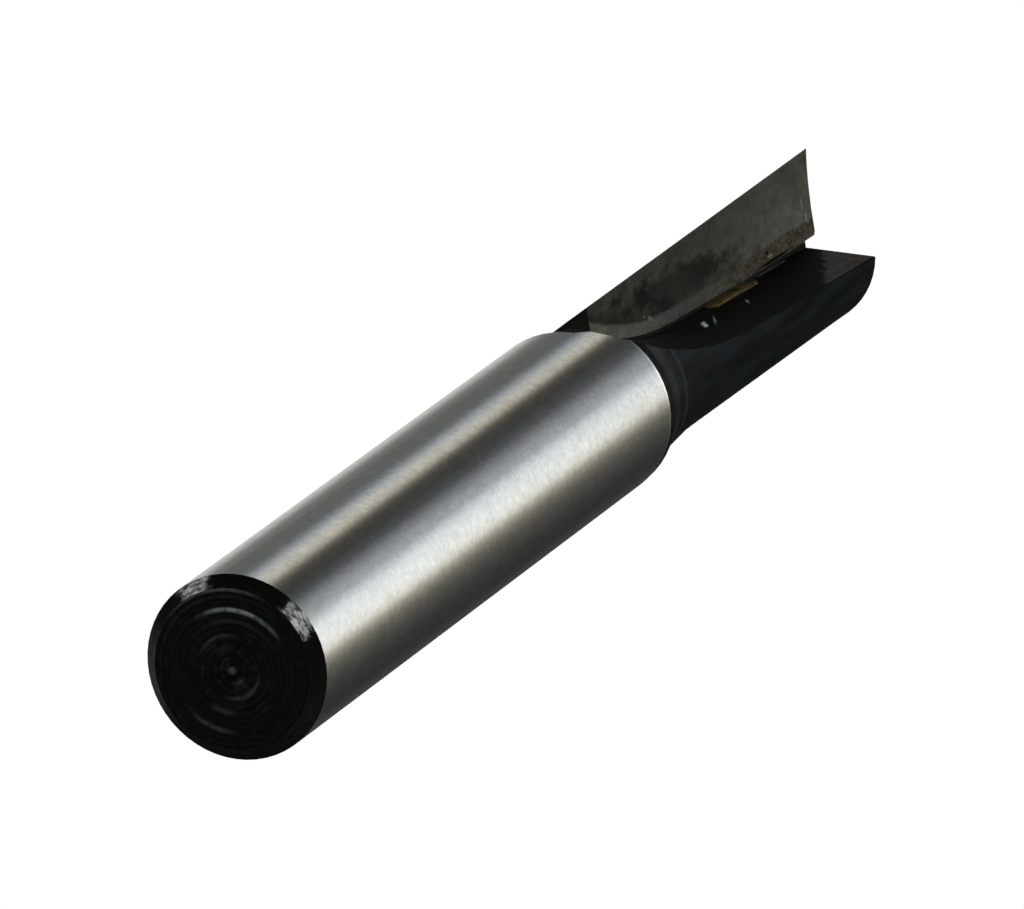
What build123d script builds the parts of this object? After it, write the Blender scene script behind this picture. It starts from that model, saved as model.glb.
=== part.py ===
from build123d import *

import os
from math import acos, atan2, cos, degrees, radians, sin, sqrt, tan

# Single-flute straight router bit with a brazed carbide cutter, in millimetres.
# The bit stands on the end face of its shank: the origin is the centre of that
# face and +Z runs along the axis to the cutting end. +X points from the axis
# to the cutting edge, and the rake face looks towards +Y.

# Shank, ground to suit a quarter-inch collet.
shank_diameter = 6.35
shank_length = 31.75
end_chamfer = 0.45

# Marks that facing leaves on the end of the shank: shallow V-shaped rings and a pip.
ring_radii = (0.52, 0.98, 1.34, 2.08)
ring_widths = (0.12, 0.20, 0.14, 0.26)
ring_depth = 0.045
pip_recess_radius = 0.30
pip_recess_depth = 0.06
pip_radius = 0.14
pip_height = 0.04

# Unground shoulder, the fillet and the slight cone that lead down from it, and
# the body behind the cutter. The body is slimmest where the cone meets it and
# swells a little towards its end.
shoulder_width = 0.50
shoulder_step = 0.03
fillet_radius = 16.0
fillet_length = 1.7
cone_diameter = 5.60
cone_length = 2.9
neck_diameter = 5.22
body_diameter = 5.48
body_end_break = 0.08

# Lengths along the axis.
overall_length = 54.2
tip_projection = 1.30
tip_length = 21.2
relief_overlap = 1.50
wing_lead_in = 1.00

# Cutting geometry, seen along the axis.
cutting_diameter = 6.60
rake_offset = 0.12
flute_angle = 100.0
relief_angle = 34.0
end_clearance = 10.0
dish_angle = 5.0

# Floor of the flute: a shallow ramp, then the wheel's run-out into the shank.
floor_height_at_end = 0.04
ramp_angle = 3.0
ramp_length = 12.8
runout_radius = 23.5
runout_margin = 1.0

# Carbide plate, and the film of braze that it sits in.
tip_thickness = 1.30
tip_root = 0.24
tip_lean = 1.4
hollow_depth = 0.06
corner_break = 0.12
braze_gap = 0.10

# Bead of braze that lies in the corner of the flute, along the plate's root.
bead_setback = 5.3
bead_length = 4.6
bead_width = 0.52
bead_rise = 0.08
bead_swell = 0.04
bead_root = 0.05

# Sizes that follow.
shank_radius = shank_diameter / 2
neck_end_radius = neck_diameter / 2
body_radius = body_diameter / 2
cutting_radius = cutting_diameter / 2
body_end = overall_length - tip_projection
tip_start = overall_length - tip_length
relief_start = min(shank_length - relief_overlap, tip_start - 2 * wing_lead_in)
bead_start = body_end - bead_setback - bead_length
tip_back = rake_offset - tip_thickness
clear = 2 * max(shank_diameter, cutting_diameter)

# Where the shoulder, the fillet and the cone end.
shoulder_radius = shank_radius - shoulder_step
shoulder_end = shank_length + shoulder_width
cone_radius = cone_diameter / 2
cone_start = shoulder_end + fillet_length
neck_end = cone_start + cone_length

# The run-out is an arc tangent to the ramp, followed until it is clear of the shank.
ramp_start = body_end - ramp_length
ramp_height = floor_height_at_end + ramp_length * tan(radians(ramp_angle))
runout_centre_x = ramp_height + runout_radius * cos(radians(ramp_angle))
runout_centre_z = ramp_start + runout_radius * sin(radians(ramp_angle))
runout_height = max(shank_radius, cutting_radius) + runout_margin

# The wheel that hollows the rake face touches the cutting edge and the root.
edge_x = sqrt(cutting_radius**2 - rake_offset**2)
hollow_width = edge_x - tip_root
hollow_radius = hollow_width**2 / (8 * hollow_depth) + hollow_depth / 2

# Cutting edge, the heel of the relief at the back of the carbide, and the
# point where the second clearance flat runs out on the slim end of the body.
edge_angle = degrees(atan2(rake_offset, edge_x))
relief_slope = tan(radians(relief_angle - edge_angle))
heel_x = edge_x - tip_thickness * relief_slope
heel_radius = sqrt(heel_x**2 + tip_back**2)
flat_turn = degrees(acos(min(1, neck_end_radius / heel_radius)))
flat_angle = degrees(atan2(tip_back, heel_x)) - flat_turn
flat_x = neck_end_radius * cos(radians(flat_angle))
flat_y = neck_end_radius * sin(radians(flat_angle))

rake_plane = Plane.XZ.offset(-rake_offset)
edge_direction = (cos(radians(edge_angle)), sin(radians(edge_angle)), 0)
edge_plane = Plane((0, 0, 0), x_dir=edge_direction, z_dir=(edge_direction[1], -edge_direction[0], 0))
floor_direction = (cos(radians(flute_angle)), sin(radians(flute_angle)), 0)


def runout_z(height):
    """Place along the axis where the run-out reaches a height above the axis."""
    return runout_centre_z - sqrt(runout_radius**2 - (runout_centre_x - height) ** 2)


def draw_flute():
    """Side view of the flute, drawn on the plane of the rake face."""
    far_end = overall_length + clear
    far_height = floor_height_at_end - (far_end - body_end) * tan(radians(ramp_angle))
    middle_height = (ramp_height + runout_height) / 2
    with BuildLine() as outline:
        Line((far_height, far_end), (ramp_height, ramp_start))
        ThreePointArc(
            (ramp_height, ramp_start),
            (middle_height, runout_z(middle_height)),
            (runout_height, runout_z(runout_height)),
        )
        Polyline(
            (runout_height, runout_z(runout_height)),
            (clear, runout_z(runout_height)),
            (clear, far_end),
            (far_height, far_end),
        )
    make_face(outline.edges())


def trim(gap, end):
    """Keep what lies over the root of the plate, or a gap wider, up to a place on the axis."""
    start = tip_start - gap
    slope = tan(radians(tip_lean))
    start_root = tip_root - gap + (overall_length - start) * slope
    end_root = tip_root - gap + (overall_length - end) * slope
    with BuildLine() as outline:
        Polyline((start_root, start), (clear, start), (clear, end), (end_root, end), close=True)
    make_face(outline.edges(), mode=Mode.INTERSECT)


def cut_relief(start):
    """Grind the relief behind the cutting edge, and the flat that follows it, from a place on the axis."""
    run = clear / 2
    flat_length = sqrt((flat_x - heel_x) ** 2 + (flat_y - tip_back) ** 2)
    foot_x = flat_x + run * (flat_x - heel_x) / flat_length
    foot_y = flat_y + run * (flat_y - tip_back) / flat_length
    with BuildSketch(Plane.XY.offset(start)) as section:
        with BuildLine():
            Polyline(
                (edge_x + run * relief_slope, rake_offset + run),
                (heel_x, tip_back),
                (foot_x, foot_y),
                (clear, foot_y),
                (clear, rake_offset + run),
                close=True,
            )
        make_face()
    extrude(section.sketch, amount=overall_length + clear - start, mode=Mode.SUBTRACT)


def draw_bead(place, fullness):
    """Section of the braze bead at a place on the axis, sunk a little into what it lies on."""
    corner_x = floor_height_at_end + (body_end - place) * tan(radians(ramp_angle))
    rise = fullness * bead_rise
    width = fullness * bead_width
    top = (corner_x + rise, rake_offset)
    foot = (corner_x + width * floor_direction[0], rake_offset + width * floor_direction[1])
    swell = (
        (top[0] + foot[0]) / 2 + fullness * bead_swell,
        (top[1] + foot[1]) / 2 + fullness * bead_swell / 2,
    )
    with BuildSketch(Plane.XY.offset(place)) as section:
        with BuildLine():
            Polyline(
                (corner_x - bead_root, rake_offset - bead_root),
                (top[0], rake_offset - bead_root),
                top,
                swell,
                foot,
                (foot[0] - bead_root, foot[1]),
                close=True,
            )
        make_face()
    return section.sketch


# Steel before the carbide's seat is milled: a turned bar with a wing behind
# the cutter, relieved, fluted and faced.
with BuildPart() as blank:
    with BuildSketch(Plane.XZ):
        with BuildLine():
            Polyline(
                (neck_end_radius, neck_end),
                (body_radius, body_end - body_end_break),
                (body_radius - body_end_break, body_end),
                (0, body_end),
                (0, 0),
                (shank_radius - end_chamfer, 0),
                (shank_radius, end_chamfer),
                (shank_radius, shank_length),
                (shoulder_radius, shank_length),
                (shoulder_radius, shoulder_end),
            )
            RadiusArc((shoulder_radius, shoulder_end), (cone_radius, cone_start), fillet_radius)
            Line((cone_radius, cone_start), (neck_end_radius, neck_end))
        make_face()
    revolve(axis=Axis.Z)

    # Wing: a sector that rises from the shank to the cutting circle.
    with BuildSketch(edge_plane):
        with BuildLine():
            Polyline(
                (0, relief_start),
                (shank_radius, relief_start),
                (cutting_radius, relief_start + wing_lead_in),
                (cutting_radius, body_end),
                (0, body_end),
                close=True,
            )
        make_face()
    revolve(axis=-Axis.Z, revolution_arc=edge_angle - flat_angle)
    cut_relief(relief_start)

    with BuildSketch(rake_plane):
        draw_flute()
    extrude(amount=clear, dir=floor_direction, mode=Mode.SUBTRACT)

    # Facing marks: rings about a small pip that stays below the face.
    for radius, width in zip(ring_radii, ring_widths):
        with BuildSketch(Plane.XZ):
            with BuildLine():
                Polyline(
                    (radius - width / 2, 0),
                    (radius, ring_depth),
                    (radius + width / 2, 0),
                    close=True,
                )
            make_face()
        revolve(axis=Axis.Z, mode=Mode.SUBTRACT)
    with BuildSketch(Plane.XY):
        Circle(pip_recess_radius)
    extrude(amount=pip_recess_depth, mode=Mode.SUBTRACT)
    with BuildSketch(Plane.XY.offset(pip_recess_depth)):
        Circle(pip_radius)
    extrude(amount=-pip_height)

# Seat milled behind the rake face for the carbide and its braze.
with BuildPart() as seat:
    with BuildSketch(rake_plane):
        draw_flute()
        trim(braze_gap, overall_length + clear / 2)
    extrude(amount=tip_thickness + braze_gap)

with BuildPart() as body:
    add(blank.part)
    add(seat.part, mode=Mode.SUBTRACT)

# Carbide plate as brazed in, then ground: relief, hollow rake face and end.
with BuildPart() as plate:
    with BuildSketch(rake_plane):
        draw_flute()
        offset(amount=-braze_gap, kind=Kind.INTERSECTION, mode=Mode.REPLACE)
        trim(0, overall_length)
    extrude(amount=tip_thickness)

with BuildPart() as carbide_tip:
    add(plate.part)
    cut_relief(0)
    with Locations((edge_x - hollow_width / 2, rake_offset - hollow_depth + hollow_radius, 0)):
        Cylinder(
            hollow_radius,
            overall_length + clear,
            align=(Align.CENTER, Align.CENTER, Align.MIN),
            mode=Mode.SUBTRACT,
        )
    end_corner = Location((edge_x, rake_offset, overall_length), (end_clearance, -dish_angle, 0))
    with Locations(end_corner):
        Box(2 * clear, 2 * clear, clear, align=(Align.CENTER, Align.CENTER, Align.MIN), mode=Mode.SUBTRACT)
    inner_corner = carbide_tip.edges().sort_by_distance((tip_root, tip_back / 2, overall_length))[0]
    chamfer(inner_corner, length=corner_break)

# The bead thins out at both ends and takes the shape of the steel and the carbide under it.
with BuildPart() as bead:
    for share, fullness in ((0, 0.4), (0.12, 0.9), (0.45, 1.0), (0.9, 0.85), (1, 0.4)):
        section = draw_bead(bead_start + share * bead_length, fullness)
        add(section)
    loft(ruled=True)
    add(body.part, mode=Mode.SUBTRACT)
    add(carbide_tip.part, mode=Mode.SUBTRACT)

with BuildPart() as braze_seam:
    add(seat.part)
    add(blank.part, mode=Mode.INTERSECT)
    add(plate.part, mode=Mode.SUBTRACT)
    add(bead.part)

os.makedirs("parts", exist_ok=True)
body.part.label = "body"
carbide_tip.part.label = "carbide_tip"
braze_seam.part.label = "braze_seam"
export_step(body.part, "parts/body.step")
export_step(carbide_tip.part, "parts/carbide_tip.step")
export_step(braze_seam.part, "parts/braze_seam.step")
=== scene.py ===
import math

import bpy
from mathutils import Euler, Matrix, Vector

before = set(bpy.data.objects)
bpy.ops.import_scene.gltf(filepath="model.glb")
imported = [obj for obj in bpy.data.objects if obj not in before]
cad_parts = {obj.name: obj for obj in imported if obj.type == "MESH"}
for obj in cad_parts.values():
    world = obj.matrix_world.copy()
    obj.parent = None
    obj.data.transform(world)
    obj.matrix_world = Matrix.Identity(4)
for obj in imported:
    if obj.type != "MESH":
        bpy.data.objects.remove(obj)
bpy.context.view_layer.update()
print("frame loaded")


def linear(hexColour):
    # sRGB hex to the linear colour that a shader wants
    out = []
    for i in (0, 2, 4):
        c = int(hexColour[i:i + 2], 16) / 255
        out.append(c / 12.92 if c <= 0.04045 else ((c + 0.055) / 1.055) ** 2.4)
    return (*out, 1.0)


def add(tree, kind, inputs=None, out=0, stops=None, **settings):
    # Adds one node with its settings and gives back one output, or the node itself for out=None.
    # In inputs another node's output is linked and anything else is a value; a tuple of keys takes one each.
    # MapRange reads from 1 to 2 and gives 3 to 4, and Mix has numbers in 2 and 3 and colours in 6 and 7.
    # stops are a colour ramp's places and grey levels.
    n = tree.nodes.new("ShaderNode" + kind)
    for key, value in settings.items():
        setattr(n, key, value)
    for keys, values in (inputs or {}).items():
        pairs = zip(keys, values) if isinstance(keys, tuple) else [(keys, values)]
        for key, value in pairs:
            if isinstance(value, bpy.types.NodeSocket):
                tree.links.new(value, n.inputs[key])
            else:
                n.inputs[key].default_value = value
    if stops:
        while len(n.color_ramp.elements) < len(stops):
            n.color_ramp.elements.new(0.5)
        for element, (place, level) in zip(n.color_ramp.elements, stops):
            element.position = place
            element.color = (level, level, level, 1)
    return n if out is None else n.outputs[out]


def newMaterial(name):
    mat = bpy.data.materials.new(name)
    mat.use_nodes = True
    mat.node_tree.nodes.clear()
    return mat, mat.node_tree


# In the dictionaries of the bit lengths are in mm and turns in degrees. A name with Near has a middle and
# half a length, and one with From the places where something starts and is full. Four numbers are a range
# that is read, from and to, and what it gives, from and to. A noise's Scale is in cells per mm.
mmPerMetre = 1000.0
ranges = (1, 2, 3, 4)
spotCore = 0.45     # a spot is at full strength out to this part of its half lengths


def readPlace(tree):
    # place in mm and the way the surface faces
    coords = add(tree, "TexCoord", out=None)
    mm = add(tree, "VectorMath", {0: coords.outputs["Object"], "Scale": mmPerMetre}, operation="SCALE")
    x, y, z = add(tree, "SeparateXYZ", {0: mm}, None).outputs
    return {"mm": mm, "x": x, "y": y, "z": z, "normal": coords.outputs["Normal"]}


def drawSpots(tree, place, spots, wobble):
    # soft ellipses on a flat place: each has its middle, half lengths, tilt in degrees and strength
    total = 0.0
    for middle, halves, tilt, strength in spots:
        inside = add(tree, "Mapping", {0: place, 1: (*middle, 0), 2: (0, 0, math.radians(tilt)),
                                       3: (*halves, 1)}, vector_type="TEXTURE")
        reach = add(tree, "VectorMath", {0: inside}, "Value", operation="LENGTH")
        reach = add(tree, "Math", {0: reach, 1: wobble}, operation="ADD")
        spot = add(tree, "MapRange", {0: reach, 1: 1.0, 2: spotCore, 4: strength})
        total = add(tree, "Math", {0: total, 1: spot}, operation="MAXIMUM")
    return total


steel = {
    # ground band of the shank: its radius, where it starts and ends, and how its end comes down beside
    # the wing, between which turns, and back up behind it
    "bandNear": (3.175, 0.02),
    "bandStart": 0.45,
    "bandEnd": 31.75,
    "bandEndAtWing": 30.3,
    "wingTurns": (12.0, 33.0),
    "wingBack": -36.0,
    "paintedRimHighlightFrom": (31.58, 31.66),
    # how squarely a face looks away from the axis on the shank, and on any side of the body
    "cylinderFacing": 0.97,
    "sideFacing": 0.8,
    # ground steel: its two greys, a painted highlight on its rim where the band ends, its grain round the
    # shank and its specks along it
    "groundDark": "d8d8d7",
    "groundLight": "dededc",
    "paintedRimHighlight": "ffffff",
    "groundPatches": (0.35, 0.65),
    "groundGrain": {"Scale": 3.4, "Detail": 4.0, "Roughness": 0.65},    # 0.3 mm and finer
    "groundStretch": (1, 1, 1.6),
    "groundRough": (0.3, 0.7, 0.13, 0.22),
    "groundRelief": 0.0025,
    "speck": {"Scale": 5.0, "Detail": 4.0, "Roughness": 0.7},           # near 0.2 mm
    "speckStretch": (1, 1, 0.45),
    "speckLevel": (0.35, 0.65, 0.95, 1.07),
    # black oxide: warmer on the faces, colder and streaked round the side, and the bare metal in its marks,
    # whose colour also paints the highlights on the end and along the run-out
    "oxideDark": "080807",
    "oxideLight": "12120f",
    "oxideSide": "0f1416",
    "bareMetalAndHighlights": "e0f3ed",
    "mottle": {"Scale": 0.9, "Detail": 3.0, "Roughness": 0.6},          # patches near 1 mm
    "oxideGrain": {"Scale": 3.2, "Detail": 4.0, "Roughness": 0.6},      # near 0.3 mm
    "oxideRagged": (0.3, 0.7, -0.5, 0.5),
    "oxideRough": (0.3, 0.7, 0.28, 0.42),
    "oxideRelief": 0.012,
    "oxideSpecular": 0.02,
    "sideStreak": {"Scale": 2.0, "Detail": 3.0},    # streaks near 0.5 mm wide and 4 mm long
    "sideStreakStretch": (1, 1, 0.12),
    "sideStreakSpan": (0.35, 0.65),
    # painted shade of the wing's front face, and of the flute floor, which darkens towards the cutting end
    "paintedWingShade": (0.95, 0.98, 1.0, 0.3),
    "paintedFloorShade": (38.0, 43.5, 0.9, 0.28),
    # end chamfer: where it lies along the axis, and its inner radius
    "chamferNear": (0.26, 0.2),
    "chamferInner": 2.65,
    # places on it where the oxide is rubbed away: middle and half width; then how far past that width
    # a place starts and is full, and how ragged its edge is
    "rubbed": [(58.0, 12.0), (-20.0, 13.0)],
    "rubbedFrom": (2, -8),
    "rubbedRagged": 9.0,
    # streaks in them: mm round the shank for each degree, how much tighter they lie across, and their noise
    "rubArc": 0.055,
    "rubSqueeze": 4.0,
    "rubStreak": {"Scale": 2.6, "Detail": 4.0, "Roughness": 0.65},      # near 0.4 mm long and 0.1 mm wide
    "rubStreakLevel": (0.42, 0.6, 0.06, 0.75),
    # turned lines round the neck: between which places, then place between them and level of each
    "neckSpan": (31.7, 35.7),
    "neckLines": [(0.0, 0.0), (0.14, 0.0), (0.24, 0.004), (0.38, 0.006), (0.44, 0.0), (0.58, 0.0),
                  (0.63, 0.008), (0.67, 0.008), (0.72, 0.0), (1.0, 0.0)],
    # flute floor: the way it faces, how squarely, where it starts along the axis, and its turn and its
    # place in the corner with the plate
    "floorFacing": (0.9835, 0.1734, 0.0515),
    "floorFrom": (0.955, 0.975),
    "floorStart": 32.5,
    "floorTurn": 100.0,
    "floorOrigin": 0.12,
    # worn grey corner: where its line starts, the slope of that line, how far over the floor the wear
    # starts and is full, how ragged it is, its start along the axis, and the rim that stays dark, by radius
    "wornLight": "302e2b",
    "wornStart": 47.6,
    "wornSlope": 0.388,
    "wornOverFrom": (2.62, 2.85),
    "wornRagged": 0.35,
    "wornStartFrom": (-0.3, 0.2),
    "wornRimFrom": (2.66, 2.60),
    "blotch": {"Scale": 4.5, "Detail": 5.0, "Roughness": 0.7},          # near 0.2 mm
    "blotchLevel": (0.38, 0.6, 0.45, 1.0),
    # flux and scale on the floor: middle (along the axis, over the floor), half lengths, tilt, strength
    "floorSpots": [((40.85, 0.9), (0.46, 0.13), -28, 0.3), ((41.5, 1.02), (0.7, 0.06), -25, 0.07),
                   ((44.65, 1.0), (0.36, 0.07), -30, 0.09)],
    # lines: a lighter one in the corner at the plate's root, and a painted highlight along the edge of the
    # run-out
    "cornerNear": (49.4, 1.35),
    "cornerLine": (0.13, 0.03, 0.0, 0.035),
    "runoutNear": (37.3, 2.6),
    "runoutEdgeHighlight": (2.56, 2.66, 0.0, 0.012),
    # facing rings on the end: how far in the end's marks reach, pitch, wander, strength, shade and relief
    "endDepth": 0.07,
    "ringPitch": 0.21,
    "ringWander": 0.45,
    "ringStrength": (0.4, 0.62, 0.4, 1.0),
    "ringShade": 0.3,
    "ringRelief": 0.008,
    # painted highlights on arcs of the rings on the end: radius, half width, middle turn, half length, level;
    # then the part of that half width and half length that is at full level, and their gaps
    "paintedRingHighlights": [(2.07, 0.10, 17, 52, 0.115), (1.20, 0.10, -22, 48, 0.014), (0.97, 0.10, 158, 62, 0.020),
                  (1.45, 0.12, -158, 24, 0.013), (2.12, 0.11, -151, 30, 0.020), (2.76, 0.08, -8, 50, 0.045),
                  (1.70, 0.10, 10, 60, 0.006), (0.48, 0.12, 160, 45, 0.012), (2.52, 0.08, -20, 90, 0.004)],
    "ringHighlightCore": (0.25, 0.2),
    "ringHighlightGaps": (0.36, 0.52, 0.35, 1.0),
    # painted highlight on the pip in the middle, by radius, and a thin painted sheen round it
    "pip": (0.17, 0.08, 0.0, 0.028),
    "bloom": {"Scale": 1.9, "Detail": 4.0, "Roughness": 0.6},           # near 0.5 mm
    "bloomLevel": (0.5, 0.68, 0.0, 0.0055),
    "bloomReach": (0.7, 1.7, 1.0, 0.18),
}


def makeSteel():
    # Tool steel: the shank is centreless ground bright, and the rest keeps the black oxide
    # of its heat treatment.
    mat, tree = newMaterial("groundToolSteelAndBlackOxide")
    at = readPlace(tree)
    mm, x, y, z = at["mm"], at["x"], at["y"], at["z"]
    flat = add(tree, "CombineXYZ", {"X": x, "Y": y})
    radius = add(tree, "VectorMath", {0: flat}, "Value", operation="LENGTH")
    turn = add(tree, "Math", {0: y, 1: x}, operation="ARCTAN2")
    turn = add(tree, "Math", {0: turn}, operation="DEGREES")

    # the wheel's scratches are near 0.01 mm apart, and these are drawn 0.3 mm wide and less so that they show
    roundShank = add(tree, "Mapping", {0: mm, 3: steel["groundStretch"]})
    groundGrain = add(tree, "TexNoise", {"Vector": roundShank, **steel["groundGrain"]})
    mottle = add(tree, "TexNoise", {"Vector": mm, **steel["mottle"]})
    oxideGrain = add(tree, "TexNoise", {"Vector": mm, **steel["oxideGrain"]})
    ragged = add(tree, "MapRange", {0: oxideGrain, ranges: steel["oxideRagged"]})

    # ground band: on the cylinder only, so that no other face at that radius shines
    radial = add(tree, "VectorMath", {0: flat}, operation="NORMALIZE")
    facing = add(tree, "VectorMath", {0: at["normal"], 1: radial}, "Value", operation="DOT_PRODUCT")
    onSide = add(tree, "Math", {0: facing, 1: steel["sideFacing"]}, operation="GREATER_THAN")
    onCylinder = add(tree, "Math", {0: facing, 1: steel["cylinderFacing"]}, operation="GREATER_THAN")
    atRadius = add(tree, "Math", {0: radius, (1, 2): steel["bandNear"]}, operation="COMPARE")
    besideWing = add(tree, "MapRange", {0: turn, (1, 2): steel["wingTurns"],
                                        3: steel["bandEndAtWing"], 4: steel["bandEnd"]})
    behindWing = add(tree, "Math", {0: turn, 1: steel["wingBack"]}, operation="LESS_THAN")
    bandEnd = add(tree, "Mix", {0: behindWing, 2: besideWing, 3: steel["bandEnd"]})
    belowEnd = add(tree, "Math", {0: z, 1: bandEnd}, operation="LESS_THAN")
    aboveStart = add(tree, "Math", {0: z, 1: steel["bandStart"]}, operation="GREATER_THAN")
    band = onCylinder
    for mask in (atRadius, belowEnd, aboveStart):
        band = add(tree, "Math", {0: band, 1: mask}, operation="MULTIPLY")

    # rubbed places on the end chamfer; the recess of the pip is as far in, so only the outside counts
    onChamfer = add(tree, "Math", {0: z, (1, 2): steel["chamferNear"]}, operation="COMPARE")
    outside = add(tree, "Math", {0: radius, 1: steel["chamferInner"]}, operation="GREATER_THAN")
    onChamfer = add(tree, "Math", {0: onChamfer, 1: outside}, operation="MULTIPLY")
    rubbed = 0.0
    rubStart, rubFull = steel["rubbedFrom"]
    for middle, half in steel["rubbed"]:
        away = add(tree, "Math", {0: turn, 1: middle}, operation="SUBTRACT")
        away = add(tree, "Math", {0: away}, operation="ABSOLUTE")
        away = add(tree, "Math", {0: ragged, 1: steel["rubbedRagged"], 2: away}, operation="MULTIPLY_ADD")
        patch = add(tree, "MapRange", {0: away, 1: half + rubStart, 2: half + rubFull},
                    interpolation_type="SMOOTHSTEP")
        rubbed = add(tree, "Math", {0: rubbed, 1: patch}, operation="MAXIMUM")
    # streaks round the chamfer, where the tool rest has dragged
    arc = add(tree, "Math", {0: turn, 1: steel["rubArc"]}, operation="MULTIPLY")
    squeezed = add(tree, "Math", {0: z, 1: steel["rubSqueeze"]}, operation="MULTIPLY")
    arcPlace = add(tree, "CombineXYZ", {"X": arc, "Z": squeezed})
    rubStreak = add(tree, "TexNoise", {"Vector": arcPlace, **steel["rubStreak"]})
    rubStreak = add(tree, "MapRange", {0: rubStreak, ranges: steel["rubStreakLevel"]})
    for mask in (onChamfer, rubStreak):
        rubbed = add(tree, "Math", {0: rubbed, 1: mask}, operation="MULTIPLY")
    bright = add(tree, "Math", {0: band, 1: rubbed}, operation="MAXIMUM")

    # black oxide: a warmer black on the faces, a colder one in streaks round the side of the body
    oxide = add(tree, "Mix", {0: ragged, 6: linear(steel["oxideDark"]), 7: linear(steel["oxideLight"])}, 2,
                data_type="RGBA")
    lengthwise = add(tree, "Mapping", {0: mm, 3: steel["sideStreakStretch"]})
    streak = add(tree, "TexNoise", {"Vector": lengthwise, **steel["sideStreak"]})
    streak = add(tree, "MapRange", {0: streak, (1, 2): steel["sideStreakSpan"]})
    streak = add(tree, "Math", {0: streak, 1: onSide}, operation="MULTIPLY")
    oxide = add(tree, "Mix", {0: streak, 6: oxide, 7: linear(steel["oxideSide"])}, 2, data_type="RGBA")

    # turned lines round the neck, dark and light, just past the shank
    neck = add(tree, "MapRange", {0: z, (1, 2): steel["neckSpan"]})
    neck = add(tree, "ValToRGB", {0: neck}, stops=steel["neckLines"])
    neck = add(tree, "Math", {0: neck, 1: onSide}, operation="MULTIPLY")

    # flute floor: darkest of all by painted shade, with a worn grey corner, bits of flux and scale, a lighter
    # line in the corner at the plate's root and a painted highlight along the run-out's edge
    floorFacing = add(tree, "VectorMath", {0: at["normal"], 1: steel["floorFacing"]}, "Value",
                      operation="DOT_PRODUCT")
    onFloor = add(tree, "MapRange", {0: floorFacing, (1, 2): steel["floorFrom"]})
    inFlute = add(tree, "Math", {0: z, 1: steel["floorStart"]}, operation="GREATER_THAN")
    onFloor = add(tree, "Math", {0: onFloor, 1: inFlute}, operation="MULTIPLY")
    slant = math.sin(math.radians(steel["floorTurn"]))
    over = add(tree, "Math", {0: y, 1: steel["floorOrigin"]}, operation="SUBTRACT")
    over = add(tree, "Math", {0: over, 1: 1 / slant}, operation="MULTIPLY")
    floorPlace = add(tree, "CombineXYZ", {"X": z, "Y": over})

    blotch = add(tree, "TexNoise", {"Vector": mm, **steel["blotch"]})
    blotch = add(tree, "MapRange", {0: blotch, ranges: steel["blotchLevel"]})
    wornStart = steel["wornStart"]
    lineStart, lineFull = [wornStart * steel["wornSlope"] + far for far in steel["wornOverFrom"]]
    worn = add(tree, "Math", {0: z, 1: steel["wornSlope"], 2: over}, operation="MULTIPLY_ADD")
    worn = add(tree, "Math", {0: ragged, 1: steel["wornRagged"], 2: worn}, operation="MULTIPLY_ADD")
    worn = add(tree, "MapRange", {0: worn, 1: lineStart, 2: lineFull})
    pastStart = add(tree, "MapRange", {0: z, (1, 2): [wornStart + far for far in steel["wornStartFrom"]]})
    rim = add(tree, "MapRange", {0: radius, (1, 2): steel["wornRimFrom"]})
    for mask in (pastStart, rim, onFloor, blotch):
        worn = add(tree, "Math", {0: worn, 1: mask}, operation="MULTIPLY")

    spots = drawSpots(tree, floorPlace, steel["floorSpots"], ragged)
    spots = add(tree, "Math", {0: spots, 1: onFloor}, operation="MULTIPLY")
    corner = add(tree, "Math", {0: z, (1, 2): steel["cornerNear"]}, operation="COMPARE")
    inCorner = add(tree, "MapRange", {0: over, ranges: steel["cornerLine"]})
    for mask in (inCorner, blotch, onFloor):
        corner = add(tree, "Math", {0: corner, 1: mask}, operation="MULTIPLY")
    # painted highlight along the edge of the run-out
    runout = add(tree, "MapRange", {0: radius, ranges: steel["runoutEdgeHighlight"]})
    inRunout = add(tree, "Math", {0: z, (1, 2): steel["runoutNear"]}, operation="COMPARE")
    for mask in (inRunout, onFloor):
        runout = add(tree, "Math", {0: runout, 1: mask}, operation="MULTIPLY")

    # facing rings all over the end, wandering a little and stronger in places
    onEnd = add(tree, "Math", {0: z, 1: steel["endDepth"]}, operation="LESS_THAN")
    wave = add(tree, "Math", {0: mottle, 1: steel["ringWander"], 2: radius}, operation="MULTIPLY_ADD")
    wave = add(tree, "Math", {0: wave, 1: 2 * math.pi / steel["ringPitch"]}, operation="MULTIPLY")
    wave = add(tree, "Math", {0: wave}, operation="SINE")
    patchy = add(tree, "MapRange", {0: mottle, ranges: steel["ringStrength"]})
    for mask in (patchy, onEnd):
        wave = add(tree, "Math", {0: wave, 1: mask}, operation="MULTIPLY")
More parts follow.
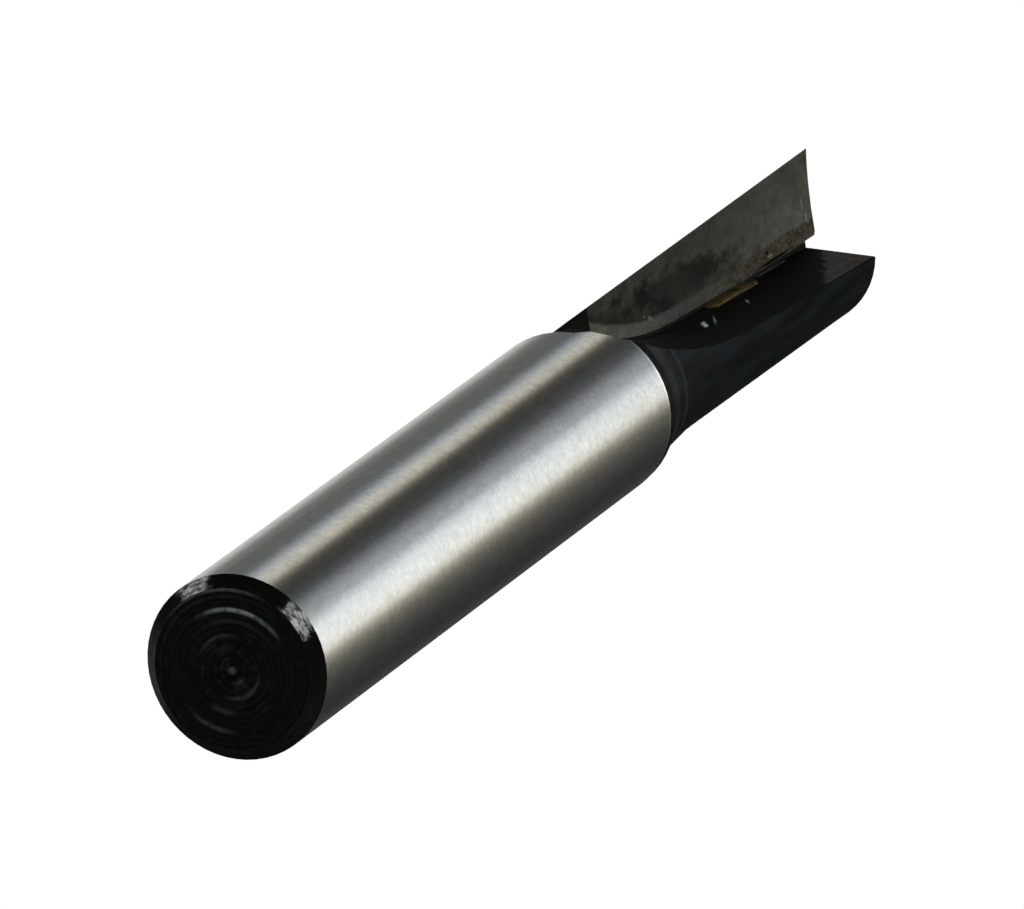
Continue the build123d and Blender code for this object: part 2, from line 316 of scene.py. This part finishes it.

    # painted highlights on arcs of the rings, broken up along their length
    rings = 0.0
    acrossCore, alongCore = steel["ringHighlightCore"]
    for ringRadius, half, middle, reach, level in steel["paintedRingHighlights"]:
        off = add(tree, "Math", {0: radius, 1: ringRadius}, operation="SUBTRACT")
        off = add(tree, "Math", {0: off}, operation="ABSOLUTE")
        off = add(tree, "MapRange", {0: off, 1: half, 2: half * acrossCore, 4: level})
        away = add(tree, "Math", {0: turn, 1: middle}, operation="SUBTRACT")
        away = add(tree, "Math", {0: away, 1: 180.0, 2: -180.0}, operation="WRAP")
        away = add(tree, "Math", {0: away}, operation="ABSOLUTE")
        away = add(tree, "MapRange", {0: away, 1: reach, 2: reach * alongCore},
                   interpolation_type="SMOOTHSTEP")
        ring = add(tree, "Math", {0: off, 1: away}, operation="MULTIPLY")
        rings = add(tree, "Math", {0: rings, 1: ring}, operation="ADD")
    gaps = add(tree, "MapRange", {0: oxideGrain, ranges: steel["ringHighlightGaps"]})
    rings = add(tree, "Math", {0: rings, 1: gaps}, operation="MULTIPLY")
    # painted highlight on the pip, and a faint painted sheen round it that fades out from the middle
    pip = add(tree, "MapRange", {0: radius, ranges: steel["pip"]})
    bloom = add(tree, "TexNoise", {"Vector": mm, **steel["bloom"]})
    bloom = add(tree, "MapRange", {0: bloom, ranges: steel["bloomLevel"]})
    nearMiddle = add(tree, "MapRange", {0: radius, ranges: steel["bloomReach"]})
    bloom = add(tree, "Math", {0: bloom, 1: nearMiddle}, operation="MULTIPLY")
    for mark in (pip, bloom):
        rings = add(tree, "Math", {0: rings, 1: mark}, operation="ADD")
    rings = add(tree, "Math", {0: rings, 1: onEnd}, operation="MULTIPLY")

    # painted shade of each face, then what is worn grey, and what is worn bare or takes a painted highlight
    paintedFloorShade = add(tree, "MapRange", {0: z, ranges: steel["paintedFloorShade"]}, interpolation_type="SMOOTHSTEP")
    onWing = add(tree, "VectorMath", {0: at["normal"], 1: (0, 1, 0)}, "Value", operation="DOT_PRODUCT")
    paintedWingShade = add(tree, "MapRange", {0: onWing, ranges: steel["paintedWingShade"]})
    paintedWingShade = add(tree, "Mix", {0: onSide, 2: paintedWingShade, 3: 1.0})
    shade = add(tree, "Mix", {0: onFloor, 2: paintedWingShade, 3: paintedFloorShade})
    ringShade = add(tree, "Math", {0: wave, 1: steel["ringShade"], 2: 1.0}, operation="MULTIPLY_ADD")
    shade = add(tree, "Math", {0: shade, 1: ringShade}, operation="MULTIPLY")
    oxide = add(tree, "VectorMath", {0: oxide, "Scale": shade}, operation="SCALE")
    oxide = add(tree, "Mix", {0: worn, 6: oxide, 7: linear(steel["wornLight"])}, 2, data_type="RGBA")
    # the bare metal colour paints the turned lines, flux and scale, the corner line and the painted
    # highlights
    marks = neck
    for mark in (rings, spots, corner, runout):
        marks = add(tree, "Math", {0: marks, 1: mark}, operation="ADD")
    oxide = add(tree, "Mix", {0: marks, 6: oxide, 7: linear(steel["bareMetalAndHighlights"])}, 2, data_type="RGBA")

    # ground steel: soft patches with fine specks, and a painted highlight on the rim where the band ends
    patches = add(tree, "MapRange", {0: mottle, (1, 2): steel["groundPatches"]})
    ground = add(tree, "Mix", {0: patches, 6: linear(steel["groundDark"]), 7: linear(steel["groundLight"])},
                 2, data_type="RGBA")
    lengthwise = add(tree, "Mapping", {0: mm, 3: steel["speckStretch"]})
    speck = add(tree, "TexNoise", {"Vector": lengthwise, **steel["speck"]})
    speck = add(tree, "MapRange", {0: speck, ranges: steel["speckLevel"]})
    ground = add(tree, "VectorMath", {0: ground, "Scale": speck}, operation="SCALE")
    onRimHighlight = add(tree, "MapRange", {0: z, (1, 2): steel["paintedRimHighlightFrom"]})
    ground = add(tree, "Mix", {0: onRimHighlight, 6: ground, 7: linear(steel["paintedRimHighlight"])}, 2, data_type="RGBA")
    colour = add(tree, "Mix", {0: bright, 6: oxide, 7: ground}, 2, data_type="RGBA")

    groundRough = add(tree, "MapRange", {0: groundGrain, ranges: steel["groundRough"]})
    oxideRough = add(tree, "MapRange", {0: oxideGrain, ranges: steel["oxideRough"]})
    rough = add(tree, "Mix", {0: bright, 2: oxideRough, 3: groundRough})

    # relief in mm: the facing rings, and each finish's own grain
    oxideHeight = add(tree, "Math", {0: oxideGrain, 1: steel["oxideRelief"]}, operation="MULTIPLY")
    groundHeight = add(tree, "Math", {0: groundGrain, 1: steel["groundRelief"]}, operation="MULTIPLY")
    height = add(tree, "Mix", {0: bright, 2: oxideHeight, 3: groundHeight})
    height = add(tree, "Math", {0: wave, 1: steel["ringRelief"], 2: height}, operation="MULTIPLY_ADD")
    bump = add(tree, "Bump", {"Height": height, "Strength": 1.0, "Distance": 1 / mmPerMetre})

    shader = add(tree, "BsdfPrincipled", {"Base Color": colour, "Metallic": bright, "Roughness": rough,
                                          "Normal": bump, "Specular IOR Level": steel["oxideSpecular"]})
    add(tree, "OutputMaterial", {"Surface": shader}, None)
    return mat


carbide = {
    # tint of the metal, of its border by the braze and of its gloss, and how squarely a face looks the way
    # of the rake face to be taken for it
    "tint": "fdfff6",
    "borderTint": "f6efd6",
    "glossTint": "bcbcbc",
    "rakeFacing": 0.9,
    # level from the shank end to the cutting end, painted shade in the hollow that the wheel left and in its
    # darkest places as a part of that, and the level in a pit and on the other faces
    "faceLevel": (42.0, 52.0, 0.125, 0.172),
    "hollowShadeLevel": 0.056,
    "deepShadePart": 0.6,
    "pitLevel": 0.005,
    "sideLevel": 0.3,
    # the run-out arc and the ramp that bound the rake face, in its own plane
    "arcCentre": (41.33, 24.18),
    "arcRadius": 23.5,
    "arcEnd": 40.1,
    "rampEnd": 52.9,
    "rampHeight": 0.04,
    "rampSlope": 0.0524,
    # border along them: width, half of its soft edge, how ragged it is, and where it grows wider, and by
    # how much
    "borderWidth": 0.55,
    "borderSoft": 0.06,
    "borderRagged": 0.18,
    "borderWider": (46.0, 49.5, 0.0, 0.3),
    # its level: between which places it is given, then place along the axis and level; and its crust of flux
    "borderSpan": (30.0, 60.0),
    "borderStops": [(33.0, 0.25), (38.5, 0.18), (41.0, 0.125), (47.0, 0.13), (49.0, 0.105), (53.5, 0.11)],
    "crustFrom": (43.0, 46.0),
    "crustLevel": (0.36, 0.64, 0.6, 1.4),
    # step inside the border, where its painted shade lies: how far past its width it starts and is full, its
    # level as a part of the hollow's shade, and its strength along the axis
    "stepFrom": (0.55, 0.1),
    "stepShadePart": 0.8,
    "stepStrength": (39.0, 43.0, 0.75, 0.0),
    # grit marks of the wheel, the metal's own grain, and a slow drift over the face
    "grit": {"Scale": 2.6, "Detail": 5.0, "Roughness": 0.7},        # 0.4 mm and finer
    "gritStretch": (1, 1, 0.5),
    "gritRagged": (0.3, 0.7, -0.35, 0.35),
    "gritLevel": (0.32, 0.68, 0.88, 1.12),
    "gritRelief": 0.01,
    "grain": {"Scale": 8.0, "Detail": 5.0, "Roughness": 0.75},      # near 0.1 mm
    "grainLevel": (0.3, 0.7, 0.74, 1.26),
    "grainRough": (0.3, 0.7, 0.34, 0.46),
    "drift": {"Scale": 0.9, "Detail": 2.0},                         # near 1 mm
    "driftLevel": (0.35, 0.65, 0.88, 1.12),
    # painted shade of the hollow and of its darkest places, then chips and pits: middle (along the axis, from
    # it), half lengths, tilt, strength
    "hollow": [((41.4, 1.85), (7.6, 0.85), -6.5, 1.0)],
    "deep": [((36.2, 2.32), (1.4, 0.34), -30, 0.6), ((38.0, 2.2), (1.3, 0.42), -10, 1.0),
             ((39.7, 1.55), (1.5, 0.36), -12, 0.9), ((43.8, 1.85), (1.9, 0.55), -8, 0.7)],
    "chips": [((49.7, 0.62), (0.3, 0.09), 0, 0.3), ((38.4, 1.42), (0.4, 0.14), -25, 0.26),
              ((37.9, 1.62), (0.2, 0.07), -20, 0.2), ((53.2, 1.5), (0.12, 0.3), 0, 0.3),
              ((53.4, 1.0), (0.1, 0.25), 0, 0.35)],
    "pits": [((49.4, 0.8), (0.2, 0.08), 0, 1.0), ((50.0, 0.42), (2.2, 0.07), -1.4, 1.0)],
}


def makeCarbide():
    # Cemented carbide, diamond ground: a neutral grey metal with a granular face, with painted shade where
    # the wheel hollowed it.
    mat, tree = newMaterial("diamondGroundCementedCarbide")
    at = readPlace(tree)
    mm, x, z = at["mm"], at["x"], at["z"]
    face = add(tree, "CombineXYZ", {"X": z, "Y": x})
    facing = add(tree, "VectorMath", {0: at["normal"], 1: (0, 1, 0)}, "Value", operation="DOT_PRODUCT")
    onRake = add(tree, "Math", {0: facing, 1: carbide["rakeFacing"]}, operation="GREATER_THAN")

    # grit marks lie along the face; the real ones are near 0.02 mm apart, and these are drawn 0.4 mm wide
    # and less so that they show
    lengthwise = add(tree, "Mapping", {0: mm, 3: carbide["gritStretch"]})
    grit = add(tree, "TexNoise", {"Vector": lengthwise, **carbide["grit"]})
    grain = add(tree, "TexNoise", {"Vector": lengthwise, **carbide["grain"]})
    drift = add(tree, "TexNoise", {"Vector": mm, **carbide["drift"]})
    ragged = add(tree, "MapRange", {0: grit, ranges: carbide["gritRagged"]})

    level = add(tree, "MapRange", {0: z, ranges: carbide["faceLevel"]}, interpolation_type="SMOOTHSTEP")
    # painted shade in the hollow that the wheel left, darker still in its deepest places
    hollow = drawSpots(tree, face, carbide["hollow"], ragged)
    level = add(tree, "Mix", {0: hollow, 2: level, 3: carbide["hollowShadeLevel"]})
    deep = drawSpots(tree, face, carbide["deep"], ragged)
    level = add(tree, "Mix", {0: deep, 2: level, 3: carbide["deepShadePart"] * carbide["hollowShadeLevel"]})

    # border that the wheel left between the hollow and the edge of the face
    arcCentre = (*carbide["arcCentre"], 0)
    toCentre = add(tree, "VectorMath", {0: face, 1: arcCentre}, "Value", operation="DISTANCE")
    fromArc = add(tree, "Math", {0: carbide["arcRadius"], 1: toCentre}, operation="SUBTRACT")
    rampAt = carbide["rampHeight"] + carbide["rampEnd"] * carbide["rampSlope"]
    fromRamp = add(tree, "Math", {0: z, 1: carbide["rampSlope"], 2: x}, operation="MULTIPLY_ADD")
    fromRamp = add(tree, "Math", {0: fromRamp, 1: rampAt}, operation="SUBTRACT")
    pastArc = add(tree, "Math", {0: z, 1: carbide["arcEnd"]}, operation="GREATER_THAN")
    inward = add(tree, "Mix", {0: pastArc, 2: fromArc, 3: fromRamp})
    inward = add(tree, "Math", {0: ragged, 1: carbide["borderRagged"], 2: inward}, operation="MULTIPLY_ADD")
    wider = add(tree, "MapRange", {0: z, ranges: carbide["borderWider"]})
    inward = add(tree, "Math", {0: inward, 1: wider}, operation="SUBTRACT")
    width, soft = carbide["borderWidth"], carbide["borderSoft"]
    border = add(tree, "MapRange", {0: inward, 1: width + soft, 2: width - soft})

    # painted shade along the step that the wheel left inside the border, deepest at the run-out
    step = add(tree, "MapRange", {0: inward, (1, 2): [width + far for far in carbide["stepFrom"]]})
    stepStrength = add(tree, "MapRange", {0: z, ranges: carbide["stepStrength"]})
    step = add(tree, "Math", {0: step, 1: stepStrength}, operation="MULTIPLY")
    level = add(tree, "Mix", {0: step, 2: level, 3: carbide["stepShadePart"] * carbide["hollowShadeLevel"]})

    # level of the border, with its crust near the braze
    first, last = carbide["borderSpan"]
    along = add(tree, "MapRange", {0: z, 1: first, 2: last})
    stops = [((place - first) / (last - first), stopLevel) for place, stopLevel in carbide["borderStops"]]
    borderLevel = add(tree, "ValToRGB", {0: along}, stops=stops)
    crust = add(tree, "MapRange", {0: grain, ranges: carbide["crustLevel"]}, clamp=False)
    nearBraze = add(tree, "MapRange", {0: z, (1, 2): carbide["crustFrom"]})
    crust = add(tree, "Mix", {0: nearBraze, 2: 1.0, 3: crust})
    borderLevel = add(tree, "Math", {0: borderLevel, 1: crust}, operation="MULTIPLY")
    level = add(tree, "Mix", {0: border, 2: level, 3: borderLevel})

    gritLevel = add(tree, "MapRange", {0: grit, ranges: carbide["gritLevel"]}, clamp=False)
    grainLevel = add(tree, "MapRange", {0: grain, ranges: carbide["grainLevel"]}, clamp=False)
    driftLevel = add(tree, "MapRange", {0: drift, ranges: carbide["driftLevel"]}, clamp=False)
    for change in (gritLevel, grainLevel, driftLevel):
        level = add(tree, "Math", {0: level, 1: change}, operation="MULTIPLY")
    chips = drawSpots(tree, face, carbide["chips"], ragged)
    level = add(tree, "Math", {0: level, 1: chips}, operation="MAXIMUM")
    pits = drawSpots(tree, face, carbide["pits"], 0.0)
    level = add(tree, "Mix", {0: pits, 2: level, 3: carbide["pitLevel"]})
    side = add(tree, "Math", {0: grainLevel, 1: carbide["sideLevel"]}, operation="MULTIPLY")
    level = add(tree, "Mix", {0: onRake, 2: side, 3: level})
    olive = border
    for mask in (nearBraze, onRake):
        olive = add(tree, "Math", {0: olive, 1: mask}, operation="MULTIPLY")
    tint = add(tree, "Mix", {0: olive, 6: linear(carbide["tint"]), 7: linear(carbide["borderTint"])}, 2,
               data_type="RGBA")
    colour = add(tree, "Mix", {0: level, 6: (0, 0, 0, 1), 7: tint}, 2, data_type="RGBA")

    rough = add(tree, "MapRange", {0: grain, ranges: carbide["grainRough"]})
    height = add(tree, "Math", {0: grit, 1: carbide["gritRelief"]}, operation="MULTIPLY")
    bump = add(tree, "Bump", {"Height": height, "Strength": 1.0, "Distance": 1 / mmPerMetre})
    shader = add(tree, "BsdfPrincipled", {"Base Color": colour, "Roughness": rough, "Normal": bump,
                                          "Metallic": 1.0, "Specular Tint": linear(carbide["glossTint"])})
    add(tree, "OutputMaterial", {"Surface": shader}, None)
    return mat


braze = {
    "gold": "8a7a4c",
    "goldDark": "5c4f2e",
    "burnt": "0c0c0b",
    "specular": 0.05,
    # the bead stands in front of the plate's face, and its outer rim, away from that face, takes the film's
    # black
    "beadFrom": (0.121, 0.13),
    "rimFrom": (0.55, 0.47),
    # lumps as it froze, near 0.4 mm wide
    "lumps": {"Scale": 2.4, "Detail": 3.0, "Roughness": 0.55},
    "patches": (0.35, 0.65),
    "rough": (0.3, 0.7, 0.4, 0.6),
    "relief": 0.03,
}


def makeBraze():
    # Silver-brass braze as it froze: the bead in the corner of the flute is bare and golden, and the film
    # is burnt black.
    mat, tree = newMaterial("silverBrassBraze")
    at = readPlace(tree)
    onBead = add(tree, "MapRange", {0: at["y"], (1, 2): braze["beadFrom"]})
    inRim = add(tree, "MapRange", {0: at["y"], (1, 2): braze["rimFrom"]})
    onBead = add(tree, "Math", {0: onBead, 1: inRim}, operation="MULTIPLY")
    lumps = add(tree, "TexNoise", {"Vector": at["mm"], **braze["lumps"]})
    patches = add(tree, "MapRange", {0: lumps, (1, 2): braze["patches"]})
    gold = add(tree, "Mix", {0: patches, 6: linear(braze["goldDark"]), 7: linear(braze["gold"])}, 2,
               data_type="RGBA")
    colour = add(tree, "Mix", {0: onBead, 6: linear(braze["burnt"]), 7: gold}, 2, data_type="RGBA")
    rough = add(tree, "MapRange", {0: lumps, ranges: braze["rough"]})
    bump = add(tree, "Bump", {"Height": lumps, "Strength": 1.0, "Distance": braze["relief"] / mmPerMetre})
    shader = add(tree, "BsdfPrincipled", {"Base Color": colour, "Metallic": onBead, "Roughness": rough,
                                          "Normal": bump, "Specular IOR Level": braze["specular"]})
    add(tree, "OutputMaterial", {"Surface": shader}, None)
    return mat


def dress(name, mat):
    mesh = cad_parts[name].data
    mesh.materials.clear()
    mesh.materials.append(mat)


dress("body", makeSteel())
dress("carbide_tip", makeCarbide())
dress("braze_seam", makeBraze())
print("steel, carbide and braze on")


studio = {
    # floor, in metres: its size and how far it lies under the bit, and its paper
    "floorSize": 3.0,
    "floorDrop": 0.00002,
    "paper": "fafafa",
    # level of the white room behind the bit and in its gloss, and as light on everything
    "whiteLevel": 1.0,
    "fillLevel": 0.55,
    # softboxes, in metres and watts: place, width and power; both are aimed at one place on the bit
    "lamps": {"keySoftbox": ((0.35, 0.45, 0.5), 0.4, 6), "lowSoftbox": ((-0.3, 0.4, -0.5), 0.4, 4)},
    "aim": (0, 0, 0.03),
}


def makeFloor():
    # pale floor, seen only from above, so that the bit can also be seen from under its shank
    bpy.ops.object.select_all(action="DESELECT")
    bpy.ops.mesh.primitive_plane_add(size=studio["floorSize"], location=(0, 0, -studio["floorDrop"]))
    floor = bpy.context.object
    floor.name = "studioFloor"
    mat, tree = newMaterial("paleStudioPaper")
    paper = add(tree, "BsdfDiffuse", {"Color": linear(studio["paper"])})
    clear = add(tree, "BsdfTransparent")
    underneath = add(tree, "NewGeometry", out="Backfacing")
    seen = add(tree, "MixShader", {0: underneath, 1: paper, 2: clear})
    add(tree, "OutputMaterial", {"Surface": seen}, None)
    floor.data.materials.append(mat)
    floor.visible_shadow = False
    floor.visible_glossy = False
    floor.visible_diffuse = False


tent = {
    "radius": 0.9,
    # turn of the main camera, which the cloths are counted from: degrees round from it, and the level there
    "cameraTurn": 59.3,
    "overhead": [(-180, 0.75), (-152, 0.62), (-131, 0.165), (-100, 0.14), (-90, 0.14), (-80, 0.48),
                 (-72, 0.70), (-62, 0.68), (-54, 0.14), (-47, 0.062), (-34, 0.056), (-24, 0.086),
                 (-14, 0.27), (-4, 0.47), (4, 0.54), (11, 0.92), (19, 1.2), (35, 1.3), (46, 1.1),
                 (56, 0.38), (66, 0.16), (80, 0.08), (100, 0.04), (130, 0.027), (152, 0.055), (172, 0.05),
                 (180, 0.75)],
    # tint of the cloth overhead, from cold at 0 to warm at 1
    "warmth": [(-180, 0.4), (-110, 0.6), (-96, 0.25), (-84, 0.1), (-75, 0.4), (-66, 0.75), (-58, 1.0),
               (-50, 0.85), (-42, 0.6), (-33, 0.4), (-24, 0.15), (-10, 0.2), (-2, 0.35), (6, 0.15),
               (14, 0.27), (28, 0.37), (40, 0.48), (50, 0.82), (60, 0.95), (70, 0.75), (95, 0.6),
               (115, 0.4), (180, 0.4)],
    "cold": (0.88, 0.99, 1.1, 1),
    "warm": (1.09, 1.0, 0.8, 1),
    # cloth round the sides, which the end chamfer and the views from the side see
    "sides": [(-180, 0.06), (-168, 0.85), (-150, 0.9), (-140, 0.1), (-134, 0.08), (-124, 0.55), (-96, 0.55),
              (-88, 0.06), (-24, 0.04), (-16, 0.6), (10, 0.6), (18, 0.05), (60, 0.05), (75, 0.8),
              (100, 0.85), (112, 0.1), (150, 0.08), (180, 0.06)],
    # heights on a ball of radius 1: where the sides turn into the overhead cloth, and then the plain cloths
    # underneath, at the top and right over the bit
    "overheadFrom": (0.60, 0.78),
    "plainFrom": [("5c5c5c", (-0.58, -0.66)), ("3a3a3a", (0.908, 0.926)), ("a4a4a4", (0.974, 0.982))],
}


def makeTent():
    # light tent: what the steel reflects, with dark flags between its lit cloths; only reflections see it
    bpy.ops.object.select_all(action="DESELECT")
    bpy.ops.mesh.primitive_uv_sphere_add(segments=64, ring_count=32, radius=tent["radius"])
    shell = bpy.context.object
    shell.name = "lightTent"
    mat, tree = newMaterial("tentClothAndFlags")
    coords = add(tree, "TexCoord", out="Object")
    direction = add(tree, "VectorMath", {0: coords}, operation="NORMALIZE")
    x, y, z = add(tree, "SeparateXYZ", {0: direction}, None).outputs
    turn = add(tree, "Math", {0: y, 1: x}, operation="ARCTAN2")
    turn = add(tree, "Math", {0: turn, 1: math.radians(tent["cameraTurn"] - 180)}, operation="SUBTRACT")
    turn = add(tree, "Math", {0: turn, 1: 2 * math.pi, 2: 0.0}, operation="WRAP")
    turn = add(tree, "Math", {0: turn, 1: 2 * math.pi}, operation="DIVIDE")
    cloths = {}
    for name in ("overhead", "sides", "warmth"):
        stops = [((degrees + 180) / 360, level) for degrees, level in tent[name]]
        cloths[name] = add(tree, "ValToRGB", {0: turn}, stops=stops)
    tint = add(tree, "Mix", {0: cloths["warmth"], 6: tent["cold"], 7: tent["warm"]}, 2, data_type="RGBA")
    overhead = add(tree, "Mix", {0: 1.0, 6: cloths["overhead"], 7: tint}, 2, data_type="RGBA",
                   blend_type="MULTIPLY")
    up = add(tree, "MapRange", {0: z, (1, 2): tent["overheadFrom"]})
    cloth = add(tree, "Mix", {0: up, 6: cloths["sides"], 7: overhead}, 2, data_type="RGBA")
    for plainColour, heights in tent["plainFrom"]:
        near = add(tree, "MapRange", {0: z, (1, 2): heights})
        cloth = add(tree, "Mix", {0: near, 6: cloth, 7: linear(plainColour)}, 2, data_type="RGBA")
    glow = add(tree, "Emission", {"Color": cloth, "Strength": 1.0})
    add(tree, "OutputMaterial", {"Surface": glow}, None)
    shell.data.materials.append(mat)
    shell.visible_camera = False
    shell.visible_diffuse = False
    shell.visible_shadow = False
    shell.visible_transmission = False
    shell.visible_volume_scatter = False


def addLamps():
    for name, (place, width, power) in studio["lamps"].items():
        data = bpy.data.lights.new(name, "AREA")
        data.shape = "SQUARE"
        data.size = width
        data.energy = power
        lamp = bpy.data.objects.new(name, data)
        bpy.context.scene.collection.objects.link(lamp)
        lamp.location = place
        towards = Vector(studio["aim"]) - Vector(place)
        lamp.rotation_euler = towards.to_track_quat("-Z", "Y").to_euler()
        lamp.visible_glossy = False


def makeWorld():
    # white to the camera, to gloss and through glass, and a softer fill for everything else
    world = bpy.data.worlds.new("whiteRoom")
    bpy.context.scene.world = world
    world.use_nodes = True
    tree = world.node_tree
    tree.nodes.clear()
    path = add(tree, "LightPath", out=None).outputs
    seen = path["Is Camera Ray"]
    for ray in ("Is Glossy Ray", "Is Transmission Ray"):
        seen = add(tree, "Math", {0: seen, 1: path[ray]}, operation="MAXIMUM")
    level = add(tree, "MapRange", {0: seen, 3: studio["fillLevel"], 4: studio["whiteLevel"]})
    background = add(tree, "Background", {"Strength": level, "Color": (1, 1, 1, 1)})
    add(tree, "OutputWorld", {"Surface": background}, None)


view = {
    # place and clip in metres, turn in degrees, lens and sensor in mm
    "place": (0.157104, 0.264101, -0.576888),
    "turn": (163.1507, -21.4520, 98.9285),
    "lens": 703.125,
    "sensor": 36,
    "clip": (0.01, 20),
}


def makeCamera():
    data = bpy.data.cameras.new("camera")
    data.sensor_width = view["sensor"]
    data.lens = view["lens"]
    data.clip_start, data.clip_end = view["clip"]
    cam = bpy.data.objects.new("camera", data)
    bpy.context.scene.collection.objects.link(cam)
    cam.location = view["place"]
    cam.rotation_euler = Euler([math.radians(v) for v in view["turn"]], "XYZ")
    bpy.context.scene.camera = cam


makeFloor()
makeTent()
makeWorld()
addLamps()
makeCamera()
bpy.context.scene.view_settings.view_transform = "Standard"
print("studio ready")
